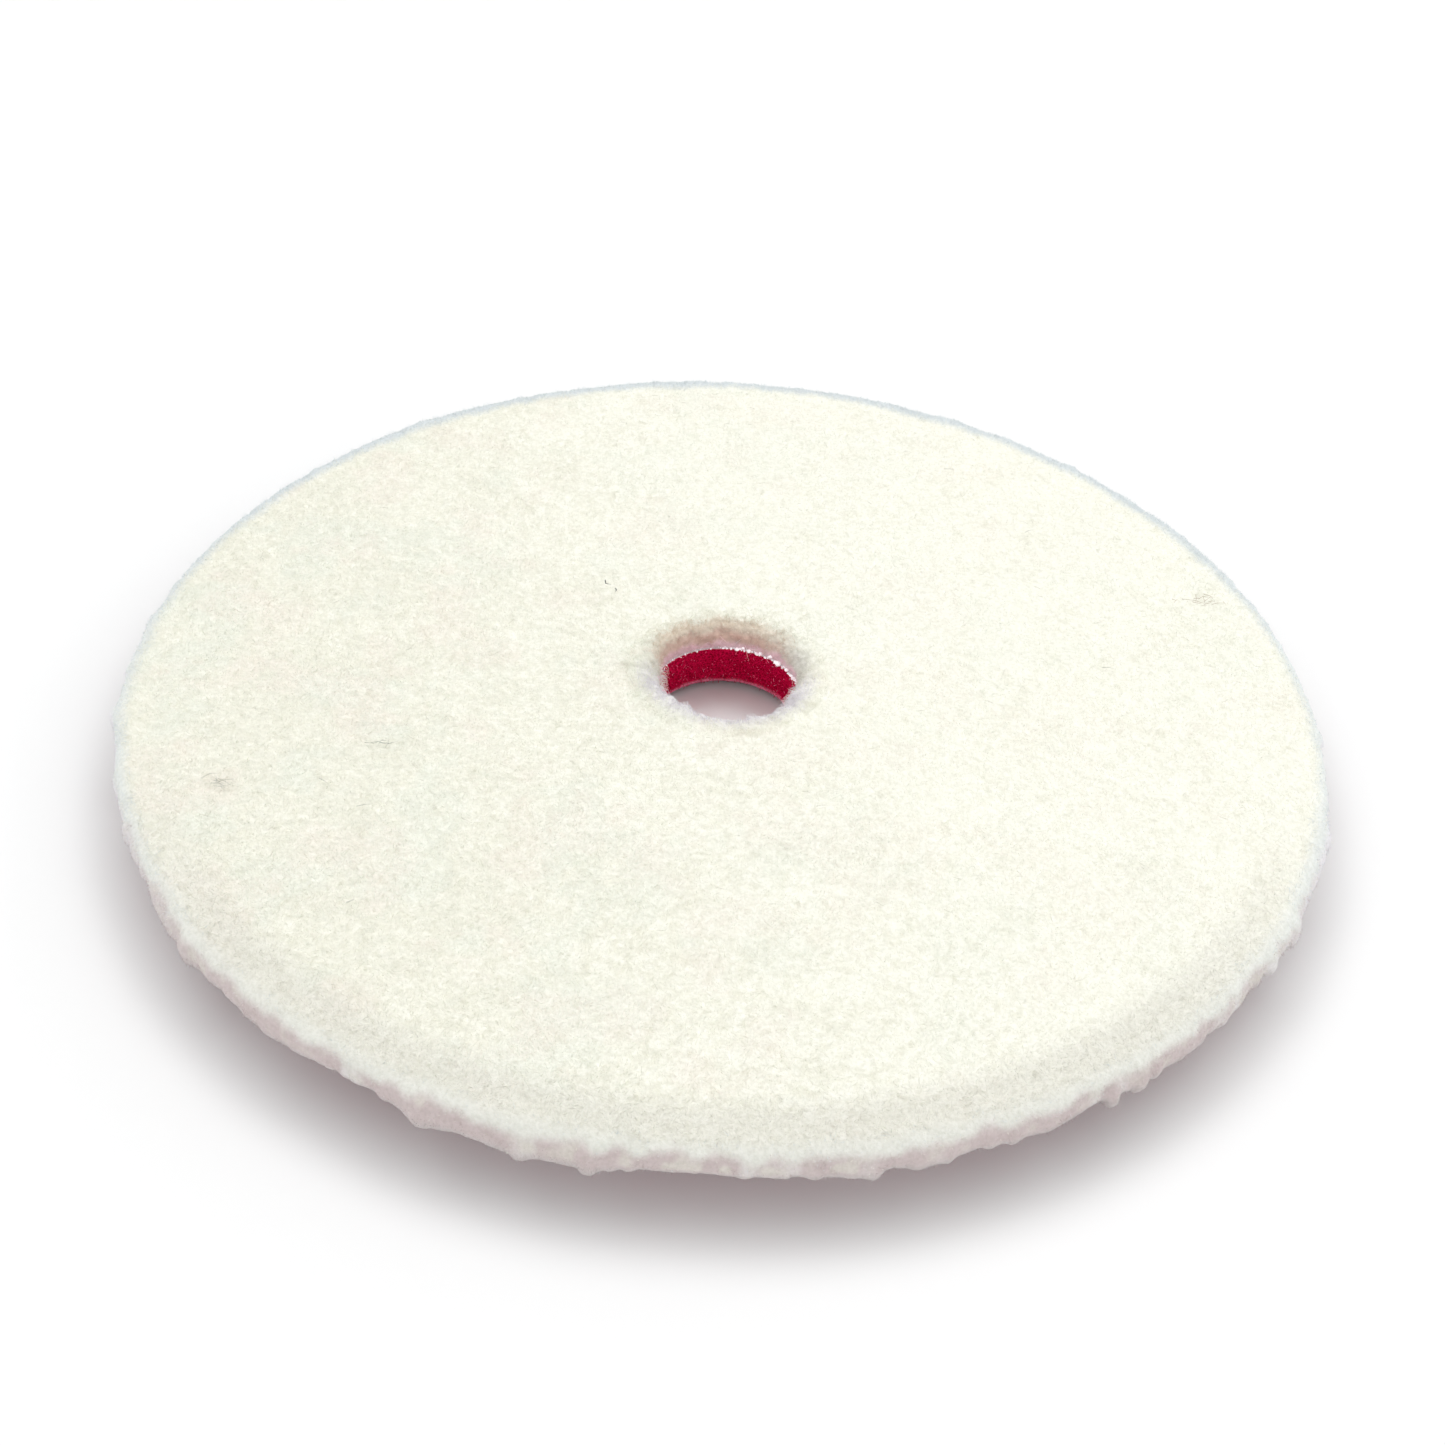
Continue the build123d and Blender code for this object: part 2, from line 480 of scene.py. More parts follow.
def colour_shares(angle, r, z):
    """How much of each pile colour shows at a point of the plain section, as one row of shares per point.
    Besides the fibres' own tones, the shares lay painted light, painted shade and painted reflection.
    """
    flat = from_polar(angle, r, z)[:, :2]
    tone = nap_tone(flat)
    broad = noise(flat, 4.5 * MM, 27)
    share = {name: np.zeros(len(r)) for name in COLOUR_NAMES}
    # painted light: the face is painted brighter towards +X, and a little towards +Y, with fewer warm and
    # cool patches there
    painted_light_side = eased(flat[:, 0] + 0.35 * flat[:, 1], -75 * MM, 40 * MM)
    patch = 0.6 * (1 - 0.65 * painted_light_side)
    share["warm"] = patch * eased(noise(flat, 8 * MM, 23) + 0.5 * noise(flat, 2.5 * MM, 25), 0.1, 0.9)
    share["cool"] = patch * eased(noise(flat, 9 * MM, 24) + 0.5 * noise(flat, 2.5 * MM, 26), 0.1, 0.9)
    share["bright"] = eased(tone + 0.25 * broad + 1.1 * painted_light_side, 0.28, 1.0)
    share["dim"] = 0.85 * eased(-tone - 0.25 * broad - 0.95 * painted_light_side, -0.02, 0.65)
    depth = (TOP_Z - z) / MM  # this and the next depths are in mm
    ragged = 0.5 * on_circle(angle, PILE_R, 2.1 * MM, 28) + 0.3 * on_circle(angle, PILE_R, 6 * MM, 35)
    rim = eased(r, PILE_R - 3 * MM, PILE_R - 0.5 * MM)
    rim_depth = np.where(rim > 0, depth + ragged, 0)
    edge = PILE_R - (1.3 + 2.0 * eased(np.sin(angle), -0.3, 0.9)) * MM
    near = eased(-np.sin(angle), 0.25, 0.8)
    pockets = on_circle(angle, PILE_R, 2.6 * MM, 29) + 0.4 * on_circle(angle, PILE_R, 7 * MM, 37)
    pockets = eased(pockets, -1.5, -0.3)
    blotch = eased(noise(from_polar(angle, PILE_R, z), 1.5 * MM, 38), -0.1, 0.8)
    lip = 1 - eased(r, HOLE_R + 1.0 * MM, HOLE_R + LIP + 0.2 * MM)
    lip_depth = depth + 0.45 * on_circle(angle, HOLE_R, 1.4 * MM, 36)
    facing = eased(np.sin(angle - math.radians(14)), 0.15, 0.95)
    beyond = eased(np.sin(angle), -0.2, 0.6)
    near_lip = eased(-np.sin(angle), -0.1, 0.5)
    cold = eased(r + 0.5 * ragged * MM, edge - 1.5 * MM, edge + 1.0 * MM)
    # Each layer covers part of those before it: the rim's first, and then those of the lip of the hole.
    # Nearly all of them are painted light: painted shade on the rim's roll, its hem and its near (-Y) side,
    # painted shade down the hole, and painted reflection of the red foam in rose and in the pink of mauve.
    layers = [
        # painted shade: the face darkens towards the rim on the near (-Y) side
        ("shade", 0.75 * near * eased(r, PILE_R - 9 * MM, PILE_R - 4 * MM)),
        # painted shade: a cool grey band where the pile rolls over the rim
        ("ice", (0.7 + 0.3 * beyond - 0.45 * near) * cold),
        # painted shade deeper down the rim
        ("lavender", (0.8 - 0.5 * near) * rim * eased(rim_depth, 1.2, 2.4)),
        # painted shade in the rim's pockets on the near side, pink as a painted reflection of the foam below
        ("mauve", 0.95 * rim * near * pockets * eased(rim_depth, 0.6, 1.9)),
        # random paler blotches within the near rim's painted shade
        ("oat", 0.8 * rim * near * blotch * eased(rim_depth, 0.9, 1.8) * eased(-depth, -3.6, -2.6)),
        # painted shade at the hem, under the rim, on the near side
        ("hem", 0.9 * rim * near * eased(depth, 2.8, 3.8)),
        # painted shade down the ends of the hole
        ("shade", 0.9 * lip * eased(lip_depth, -0.1, 1.0) * (1 - facing)),
        # painted shade on the near lip's crest
        ("lavender", 0.85 * near_lip * (1 - eased(r, HOLE_R + 0.8 * MM, HOLE_R + 3.4 * MM))),
        # painted shade on the far wall of the hole: tan, then brown deeper down
        ("tan", 0.95 * facing * lip * eased(lip_depth, -0.1, 0.6)),
        ("brown", 0.85 * facing * lip * eased(lip_depth, 1.0, 2.0)),
        # painted reflection of the red foam, deep in the hole
        ("rose", 0.85 * lip * eased(lip_depth + 0.5 * np.abs(np.cos(angle)), 2.7, 3.5)),
    ]
    base = sum(share.values())
    for name in share:
        share[name] = share[name] / np.maximum(base, 1)
    share["cream"] = np.clip(1 - base, 0, 1)
    for name, weight in layers:
        for other in share:
            share[other] = share[other] * (1 - weight)
        share[name] = share[name] + weight
    return np.stack([share[name] for name in COLOUR_NAMES], 1)


def make_pile_body(material):
    path, normal = sampled_profile(pile_profile(), pile_spacing)
    angle, r, z, out, up, faces = turned_piece(path, normal, pile_ring_count)
    free = np.where((z <= CLOTH_HIGH + SLACK) & (r <= CLOTH_R + SLACK), 0.0, 1.0)
    relief = pile_relief(angle, r, z) * free
    droop = rim_droop(angle, r, z) * free
    xyz = from_polar(angle, r + out * relief, z + up * relief - droop)
    body = new_piece("pile_body", xyz, faces, [material])
    shades = colour_shares(angle, r, z) @ np.array(list(PILE_COLOURS.values()))
    # painted shade: the pile is darkened in the hollows between its lumps inside the hole
    valleys = 1 - lumps(from_polar(angle, r, z), 1.1 * MM, 7)
    in_hole = 1 - eased(r, HOLE_R + 1.2 * MM, HOLE_R + LIP)
    shades *= 1 - 0.16 * (in_hole * valleys)[:, None]
    paint(body, np.clip(shades, 0, 1), np.ones(len(xyz)))
    return body


def surface_samples(body, per_mm2, rng, keep):
    """Random points on a mesh, with normals, spread evenly by area over the faces that keep() accepts."""
    mesh = body.data
    mesh.calc_loop_triangles()
    co = np.empty(len(mesh.vertices) * 3)
    mesh.vertices.foreach_get("co", co)
    co = co.reshape(-1, 3)
    tri = np.empty(len(mesh.loop_triangles) * 3, np.int32)
    mesh.loop_triangles.foreach_get("vertices", tri)
    corners = co[tri.reshape(-1, 3)]
    centre = corners.mean(1)
    cross = np.cross(corners[:, 1] - corners[:, 0], corners[:, 2] - corners[:, 0])
    area = np.linalg.norm(cross, axis=1) / 2
    wanted = area * keep(centre, cross / (2 * area[:, None] + 1e-15)) * per_mm2 * 1e6
    count = np.floor(wanted + rng.random(len(wanted))).astype(int)
    pick = np.repeat(np.arange(len(area)), count)
    u, v = rng.random(len(pick)), rng.random(len(pick))
    flip = u + v > 1
    u[flip], v[flip] = 1 - u[flip], 1 - v[flip]
    c = corners[pick]
    point = c[:, 0] + (c[:, 1] - c[:, 0]) * u[:, None] + (c[:, 2] - c[:, 0]) * v[:, None]
    return point, cross[pick] / (2 * area[pick, None])


def spikes(root, tip, width, rng):
    """Straight closed fibres with a three-cornered foot and a point. Returns points and faces."""
    along = unit(tip - root)
    side = unit(np.cross(along, rng.normal(size=along.shape)))
    other = np.cross(along, side)
    half = width[:, None] / 2
    foot = [root + half * (side * math.cos(a) + other * math.sin(a)) for a in (0, TURN / 3, 2 * TURN / 3)]
    points = np.stack([*foot, tip], 1).reshape(-1, 3)
    base = np.arange(len(root))[:, None] * 4
    faces = np.concatenate([base + np.array(f) for f in ((0, 1, 3), (1, 2, 3), (2, 0, 3), (0, 2, 1))])
    return points, faces


def bent_fibres(root, middle, tip, width, rng):
    """Closed fibres with one bend. Returns points and faces."""
    along = unit(middle - root)
    side = unit(np.cross(along, rng.normal(size=along.shape)))
    other = np.cross(along, side)
    angles = (0, TURN / 3, 2 * TURN / 3)
    foot = [root + width[:, None] * 0.5 * (side * math.cos(a) + other * math.sin(a)) for a in angles]
    knee = [middle + width[:, None] * 0.42 * (side * math.cos(a) + other * math.sin(a)) for a in angles]
    points = np.stack([*foot, *knee, tip], 1).reshape(-1, 3)
    base = np.arange(len(root))[:, None] * 7
    quads = np.concatenate([base + np.array((i, (i + 1) % 3, 3 + (i + 1) % 3, 3 + i)) for i in range(3)])
    tops = [base + np.array((3 + i, 3 + (i + 1) % 3, 6)) for i in range(3)]
    triangles = np.concatenate([*tops, base + np.array((0, 2, 1))])
    return points, [quads, triangles]


def bent_piece(name, fibres, materials, slots):
    """A piece of bent fibres. fibres is what bent_fibres returned, and slots holds each fibre's material."""
    face_slots = np.concatenate([np.tile(slots, 3), np.tile(slots, 4)])
    return new_piece(name, *fibres, materials, face_slots, smooth=False)


def fibre_slots(points, rng):
    """A colour for each fibre, drawn by the shares of the pile's colours where it grows."""
    angle = np.arctan2(points[:, 1], points[:, 0])
    table = np.cumsum(colour_shares(angle, from_axis(points), points[:, 2]), 1)
    return (rng.random(len(points))[:, None] > table).sum(1).clip(0, len(COLOUR_NAMES) - 1)


def lean(point, normal, size, seed, strength):
    """A direction that leans from the normal, the same way over patches of about `size`."""
    wander = np.stack([noise(point, size, seed + k) for k in range(3)], 1)
    wander -= (wander * normal).sum(1)[:, None] * normal
    return unit(normal + strength * wander)


NAP_PIECES = 6
NAP_PER_MM2 = 12
UP = np.array([0.0, 0.0, 1.0])
NAP_LIE = np.array([0.0, 0.25, 0.0])  # the whole nap leans a little towards +Y


def make_nap(body, materials):
    """Short fibres over the whole working face, split by sector into pieces."""
    rng = np.random.default_rng(101)

    def on_top(centre, normal):
        r = from_axis(centre)
        return (centre[:, 2] > TOP_Z - 1.2 * MM) & (r < PILE_R - 1.5 * MM) & (r > HOLE_R + 1 * MM)

    point, normal = surface_samples(body, NAP_PER_MM2, rng, on_top)
    normal = unit(normal * 0.5 + UP)
    direction = lean(point, normal, 0.9 * MM, 31, 2.6) + 0.5 * rng.normal(size=point.shape) + NAP_LIE
    direction[:, 2] = np.abs(direction[:, 2]) * 0.6 + 0.10
    length = (0.4 + 0.6 * rng.random(len(point))) * MM
    root = point - 0.05 * MM * normal
    tip = root + unit(direction) * length[:, None]
    width = (0.05 + 0.035 * rng.random(len(point))) * MM
    slots = fibre_slots(point, rng)
    turn = np.arctan2(point[:, 1], point[:, 0]) / TURN + 0.5
    sector = np.floor(turn * NAP_PIECES).astype(int) % NAP_PIECES
    pieces = []
    for k in range(NAP_PIECES):
        mine = sector == k
        points, faces = spikes(root[mine], tip[mine], width[mine], rng)
        face_slots = np.tile(slots[mine], 4)
        pieces.append(new_piece(f"pile_nap_{k + 1}", points, [faces], materials, face_slots, smooth=False))
    return pieces


def make_fringe(names, body, materials, per_mm2, keep, length, seed, pull):
    """Longer bent fibres, drawn into tufts, where the pile's edge shows: one piece for each name."""
    rng = np.random.default_rng(seed)
    point, normal = surface_samples(body, per_mm2, rng, keep)
    direction = lean(point, normal, 1.6 * MM, seed + 40, 1.3) + 0.35 * rng.normal(size=point.shape) + pull
    direction = unit(direction)
    uneven = 0.75 + 0.45 * noise(point, 1.7 * MM, seed + 50)
    long = length * (0.45 + 0.55 * rng.random(len(point))) * uneven
    root = point - 0.08 * MM * normal
    middle = root + direction * long[:, None] * 0.55
    bend = unit(direction + 0.45 * rng.normal(size=point.shape) - 0.25 * UP)
    tip = middle + bend * long[:, None] * 0.45
    width = (0.04 + 0.03 * rng.random(len(point))) * MM
    slots = fibre_slots(point, rng)
    pieces = []
    for k, name in enumerate(names):
        mine = np.arange(len(point)) % len(names) == k
        fibres = bent_fibres(root[mine], middle[mine], tip[mine], width[mine], rng)
        pieces.append(bent_piece(name, fibres, materials, slots[mine]))
    return pieces


def on_rim(centre, normal):
    """The faces that the rim's fibres grow from."""
    r = from_axis(centre)
    return (r > PILE_R - 2.4 * MM) & (normal[:, 2] > -0.9) & (centre[:, 2] > SKIRT_Z - 2 * MM)


def on_lip(centre, normal):
    """The faces that the fibres of the hole's lip grow from."""
    return (from_axis(centre) < HOLE_R + LIP + 0.6 * MM) & (centre[:, 2] > CLOTH_HIGH + 0.05 * MM)


# Where long whiskers hang into the hole: (angle in degrees, spread in degrees, how many)
WHISKER_TUFTS = [(180, 9, 90), (200, 12, 36), (348, 9, 60), (90, 75, 6), (270, 60, 40)]


def make_whiskers(materials):
    """Long loose hairs that hang from the wall of the hole over the foam."""
    rng = np.random.default_rng(371)
    angle = np.concatenate([np.radians(rng.normal(at, spread, many)) for at, spread, many in WHISKER_TUFTS])
    many = len(angle)
    inward = np.stack([-np.cos(angle), -np.sin(angle), np.zeros(many)], 1)
    along = np.stack([-np.sin(angle), np.cos(angle), np.zeros(many)], 1)
    z = CLOTH_HIGH + (0.1 + 2.0 * rng.random(many)) * MM
    swell = lip_swell(angle) * eased(z, CLOTH_HIGH - 0.1 * MM, CLOTH_HIGH + 1.1 * MM)
    root = from_polar(angle, HOLE_R + 0.1 * MM - swell, z)
    long = (1.3 + 1.6 * rng.random(many)) * MM
    sway = rng.normal(size=(many, 1)) * 0.8
    first = inward * 0.8 - UP * 0.35 + along * sway + 0.2 * rng.normal(size=(many, 3))
    second = inward * 0.3 - UP * 0.8 + along * (sway + 0.5 * rng.normal(size=(many, 1)))
    middle = root + unit(first) * long[:, None] * 0.5
    tip = middle + unit(second) * long[:, None] * 0.6
    fibres = bent_fibres(root, middle, tip, (0.05 + 0.04 * rng.random(many)) * MM, rng)
    colours = [COLOUR_NAMES.index(name) for name in ("bright", "lavender", "rose")]
    slots = rng.choice(colours, many, p=[0.5, 0.3, 0.2])
    return bent_piece("hole_whiskers", fibres, materials, slots)


LINT_COLOURS = {
    "black": (0.035, 0.032, 0.028),
    "grey": (0.33, 0.34, 0.29),
    "brown": (0.38, 0.29, 0.19),
    "faint": (0.56, 0.55, 0.46),
}
# Single hairs on the working face: (x, y, heading in degrees, length, width, colour), lengths in mm
HAIRS = [
    (-18.2, 17.5, -55, 1.6, 0.18, "black"),
    (-17.0, 15.9, -88, 1.2, 0.18, "black"),
    (-44.3, -32.6, 20, 2.2, 0.07, "grey"),
    (-50.2, -28.6, -30, 1.8, 0.07, "grey"),
    (-42.9, -48.9, 60, 1.6, 0.08, "grey"),
    (34.3, 55.5, -20, 2.0, 0.06, "grey"),
    (45.8, 39.2, 30, 1.8, 0.06, "grey"),
    (46.0, 15.9, 75, 1.6, 0.06, "faint"),
    (54.0, 5.1, -10, 2.0, 0.06, "grey"),
]
# Tangles of fine fibre: (x, y, half width, half height, how many, colour), lengths in mm
TANGLES = [
    (-63.3, -30.0, 1.7, 0.8, 11, "grey"),
    (-44.1, -20.4, 1.5, 0.7, 8, "grey"),
    (69.5, 23.0, 3.3, 1.3, 16, "brown"),
]
FAINT_HAIRS = 240


def make_lint():
    """Loose hairs and lint that lie on the working face."""
    rng = np.random.default_rng(391)
    rows = [(x, y, math.radians(turn), long, wide, colour) for x, y, turn, long, wide, colour in HAIRS]
    for x, y, half_x, half_y, many, colour in TANGLES:
        for _ in range(many):
            at = rng.normal(size=2) * 0.5
            long = 0.8 + 1.8 * rng.random()
            rows.append((x + at[0] * half_x, y + at[1] * half_y, rng.normal() * 0.8, long, 0.06, colour))
    for _ in range(FAINT_HAIRS):
        way = rng.random() * TURN
        r = (PILE_R / MM - 6) * math.sqrt(rng.random())
        if r > (HOLE_R + LIP) / MM + 1:
            long = 0.7 + 1.1 * rng.random()
            rows.append((r * math.cos(way), r * math.sin(way), rng.random() * TURN, long, 0.055, "faint"))
    place = np.array([row[:2] for row in rows])
    turn, long, wide = (np.array([row[k] for row in rows]) for k in (2, 3, 4))
    away, way = np.hypot(*place.T) * MM, np.arctan2(place[:, 1], place[:, 0])
    skin = pile_relief(way, away, np.full(len(rows), TOP_Z)) / MM
    height = TOP_Z / MM + skin + 0.42 + 0.12 * rng.random(len(rows)) + 0.55 * (wide > 0.1)
    ends = []
    for share, swing in ((-0.5, 0.0), (0.0, 0.18), (0.5, -0.12)):
        across = swing * long * rng.normal(size=len(rows))
        x = place[:, 0] + share * long * np.cos(turn) - across * np.sin(turn)
        y = place[:, 1] + share * long * np.sin(turn) + across * np.cos(turn)
        ends.append(np.stack([x, y, height + 0.1 * (share > -0.1)], 1) * MM)
    slots = np.array([list(LINT_COLOURS).index(row[5]) for row in rows])
    materials = [shader(f"lint_{name}", colour, 0.8)[0] for name, colour in LINT_COLOURS.items()]
    return bent_piece("face_lint", bent_fibres(*ends, wide * MM, rng), materials, slots)


pile_body = make_pile_body(pile_body_material())
pile_fibres = fibre_materials()
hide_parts("pile_face")
names, pull = ["pile_rim_fibres_1", "pile_rim_fibres_2"], np.array([0, 0.1, -0.1])
rim_fringe = make_fringe(names, pile_body, pile_fibres, 9, on_rim, 0.6 * MM, 201, pull)
names, pull = ["pile_lip_fibres"], np.array([0, 0.1, 0.0])
lip_fringe = make_fringe(names, pile_body, pile_fibres, 18, on_lip, 1.0 * MM, 301, pull)
nap = make_nap(pile_body, pile_fibres)
whiskers = make_whiskers(pile_fibres)
for piece in (pile_body, *nap, *rim_fringe, *lip_fringe, whiskers, make_lint()):
    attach(piece, "root")

# ---------------- foam

FOAM_CELL = 0.42 * MM
FOAM_LAND = 0.6 * MM  # straight edge of the foam below the face film
BARE_FOAM_R = BACKING_HOLE_R + 0.5 * MM  # inside this the foam's lowest face can be seen from below
FOAM_COLOURS = {
    "crimson": (0.44, 0.0004, 0.032),
    "pit": (0.27, 0.0002, 0.018),
    "strut": (0.80, 0.012, 0.10),
    "pink": (0.95, 0.34, 0.50),
    # painted shade on the foam's bevel outside, under the pile's rim
    "painted_bevel_shade": (0.075, 0.0004, 0.010),
}


def foam_material():
    """Open-cell foam: cell walls painted brighter as a painted highlight, pits painted darker as painted
    shade, paler at its lower edge, and a painted shade on the bevel outside, under the pile's rim.
    """
    material, nodes, links, principled = shader("open_cell_foam", FOAM_COLOURS["crimson"], 1.0, specular=0.0)
    cells = add_node(nodes, links, "ShaderNodeTexVoronoi", Vector=object_place(nodes), Scale=1 / FOAM_CELL)
    cells.feature = "DISTANCE_TO_EDGE"
    # painted highlight on the cell walls and painted shade in the pits
    stops = [(0.0, FOAM_COLOURS["strut"]), (0.10, FOAM_COLOURS["crimson"]), (0.32, FOAM_COLOURS["pit"])]
    walls = colour_ramp(nodes, links, cells.outputs["Distance"], stops)
    tint = painted_tint(nodes)
    tinted = mix_colours(nodes, links, walls, tint)
    links.new(tint.outputs["Alpha"], tinted.inputs["Factor"])
    links.new(tinted.outputs["Result"], principled.inputs["Base Color"])
    add_bump(nodes, links, principled, cells.outputs["Distance"], 0.1 * MM, 0.8)
    return material


def foam_spacing(r, z):
    """Small steps on the cut faces, and long ones where the foam is hidden."""
    if r < HOLE_R + SLACK:
        return 0.14 * MM
    if z <= FOAM_LOW + SLACK and r < BARE_FOAM_R:
        return 0.28 * MM
    if (z <= FOAM_LOW + SLACK and r < BACKING_R) or (z >= FOAM_HIGH - SLACK and r < CLOTH_R):
        return 6 * MM
    return 0.28 * MM


def foam_ring_count(r):
    return 512 if r < 30 * MM else 1024 if r < 60 * MM else 2048


def make_foam(material):
    """The foam: a straight wall in the hole, a bevel outside, and cells in both."""
    section = [
        (HOLE_R, FOAM_LOW),
        (BARE_FOAM_R, FOAM_LOW),
        (BACKING_R, FOAM_LOW),
        (CLOTH_R, FOAM_HIGH - FOAM_LAND),
        (CLOTH_R, FOAM_HIGH),
        (HOLE_R, FOAM_HIGH),
    ]
    path, normal = sampled_profile(section, foam_spacing)
    angle, r, z, out, up, faces = turned_piece(path, normal, foam_ring_count)
    flat = from_polar(angle, r, z)
    inside = r < HOLE_R + SLACK
    exposed = inside | (r > BACKING_R - SLACK)
    pits = lumps(flat, FOAM_CELL, 61, reach=0.62)
    relief = np.where(exposed, -0.16 * pits + 0.04 + 0.05 * noise(flat, 1.2 * MM, 62), 0.0) * MM
    relief = np.minimum(relief, 0.05 * MM)
    up = np.where((z > FOAM_LOW + 0.05 * MM) & (z < FOAM_HIGH - 0.05 * MM), up, 0)
    xyz = from_polar(angle, r + out * relief, z + up * relief)
    piece = new_piece("foam_interlayer", xyz, faces, [material])
    low_edge = 1 - eased(z, FOAM_LOW, FOAM_LOW + (0.75 + 0.25 * on_circle(angle, HOLE_R, 1.5 * MM, 63)) * MM)
    # outside the hole the foam is painted a dark crimson: painted shade under the pile's rim
    colour = np.where(inside[:, None], FOAM_COLOURS["pink"], FOAM_COLOURS["painted_bevel_shade"])
    share = np.where(inside, 0.95 * low_edge, 0.75)
    paint(piece, colour, share)
    return piece


STRUT_COLOURS = ["crimson", "strut", "pink", "painted_bevel_shade"]


def make_foam_struts(foam):
    """Torn cell walls that stand out of the foam's cut faces. Most are painted a brighter crimson as a
    painted highlight, and those on the bevel outside carry its painted shade.
    """
    materials = [shader(f"foam_{name}", FOAM_COLOURS[name], 0.8, specular=0.05)[0] for name in STRUT_COLOURS]
    rng = np.random.default_rng(351)

    def on_cut(centre, normal):
        r = from_axis(centre)
        inside = (r < HOLE_R + 0.5 * MM) & (np.abs(normal[:, 2]) < 0.8)
        outside = (r > BACKING_R - 0.2 * MM) & (centre[:, 2] < FOAM_HIGH - 0.2 * MM)
        return np.where(inside, 1.0, np.where(outside, 0.35, 0.0))

    point, normal = surface_samples(foam, 10, rng, on_cut)
    sideways = rng.normal(size=point.shape)
    sideways = unit(sideways - (sideways * normal).sum(1)[:, None] * normal)
    long = (0.20 + 0.40 * rng.random(len(point)) ** 2) * MM
    root = point - 0.02 * MM * normal
    middle = root + (sideways * 0.6 + normal * 0.35) * long[:, None]
    bend = sideways * 0.55 - normal * 0.15 + 0.3 * rng.normal(size=point.shape)
    tip = middle + bend * long[:, None] * 0.6
    width = (0.045 + 0.045 * rng.random(len(point))) * MM
    fibres = bent_fibres(root, middle, tip, width, rng)
    slots = rng.choice(3, len(point), p=[0.34, 0.54, 0.12])
    # struts on the bevel take its painted shade
    slots[from_axis(point) > BACKING_R - 1 * MM] = STRUT_COLOURS.index("painted_bevel_shade")
    return bent_piece("foam_cell_struts", fibres, materials, slots)


foam = make_foam(foam_material())
foam_struts = make_foam_struts(foam)
for piece in (foam, foam_struts):
    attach(piece, "root")
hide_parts("foam_core")

# ---------------- cloths, films and loops


EDGE_STEPS = 5  # over the thickness of a cloth or film


def thin_ring(name, material, inner, outer, node, edge_relief, face_step, count):
    """A thin flat ring at a node's levels, with `count` points round its hole and up to four times as many
    further out. edge_relief(angle, radius) works its cut edges, in metres outwards."""
    low, high = levels_of(node)
    section = [(inner, low), (outer, low), (outer, high), (inner, high)]

    def spacing(r, z):
        on_edge = r < inner + SLACK or r > outer - SLACK
        return (high - low) / EDGE_STEPS if on_edge else face_step

    def ring_count(r):
        doublings = int(math.log2(max(1.0, r / inner))) if r > inner + SLACK else 0
        return count * min(4, 2**doublings)

    path, normal = sampled_profile(section, spacing)
    angle, r, z, out, up, faces = turned_piece(path, normal, ring_count)
    side = np.where(r < inner + SLACK, -1.0, np.where(r > outer - SLACK, 1.0, 0.0))
    bulge = 1 - (2 * (z - (low + high) / 2) / (high - low)) ** 2
    relief = edge_relief(angle, r) * (0.3 + 0.7 * bulge) - 0.25 * (high - low) * (1 - bulge)
    return new_piece(name, from_polar(angle, r + side * relief, z), faces, [material])


def stitched_edge(angle, r):
    """A knitted cloth's cut edge: a row of small loops, uneven in size."""
    pitch = 0.42 * MM
    turns = np.round(TURN * r / pitch)
    loops = np.abs(np.sin(angle * turns / 2 + 0.8 * on_circle(angle, r, 2 * MM, 72)))
    return (0.13 * loops - 0.05 + 0.05 * on_circle(angle, r, 1.3 * MM, 71)) * MM


def oozed_edge(angle, r):
    """An adhesive's edge: beads where it was squeezed out."""
    beads = np.clip(on_circle(angle, r, 0.8 * MM, 81), 0, 1)
    return (0.16 * beads - 0.04) * MM


def knit_material(name, colour, pitch):
    """A plain knit: columns of stitches, painted a little darker in the hollows between them as painted
    shade.
    """
    material, nodes, links, principled = shader(name, colour, 0.8, sheen=0.2)
    both = nodes.new("ShaderNodeMath")
    both.operation = "MULTIPLY"
    shape = {"Scale": 0.314 / pitch, "Distortion": 1.5, "Detail": 1.0, "Detail_Scale": 0.4}
    for k, (direction, phase) in enumerate((("X", 0.0), ("Y", 1.6))):
        place = object_place(nodes)
        wave = add_node(nodes, links, "ShaderNodeTexWave", Vector=place, Phase_Offset=phase, **shape)
        wave.bands_direction = direction
        links.new(wave.outputs["Fac"], both.inputs[k])
    height = both.outputs["Value"]
    # painted shade in the hollows of the knit
    painted_hollow_shade = tuple(0.80 * c for c in colour)
    shades = colour_ramp(nodes, links, height, [(0.0, painted_hollow_shade), (0.6, colour)])
    links.new(shades.outputs["Color"], principled.inputs["Base Color"])
    add_bump(nodes, links, principled, height, 0.08 * MM)
    return material


def film_material(name, colour):
    """Set adhesive: smooth and a little cloudy."""
    material, nodes, links, principled = shader(name, colour, 0.35, subsurface=0.2, scale=0.3 * MM)
    cloud = texture_noise(nodes, links, 0.7 * MM)
    stops = [(0.35, colour), (0.7, tuple(0.85 * c for c in colour))]
    shades = colour_ramp(nodes, links, cloud.outputs["Fac"], stops)
    links.new(shades.outputs["Color"], principled.inputs["Base Color"])
    add_bump(nodes, links, principled, cloud.outputs["Fac"], 0.05 * MM)
    return material


def ball_points():
    """Points and faces of one small round bead, 1 in radius."""
    form = bmesh.new()
    bmesh.ops.create_icosphere(form, subdivisions=1, radius=1)
    form.verts.index_update()
    points = np.array([v.co for v in form.verts])
    faces = np.array([[v.index for v in face.verts] for face in form.faces])
    form.free()
    return points, faces


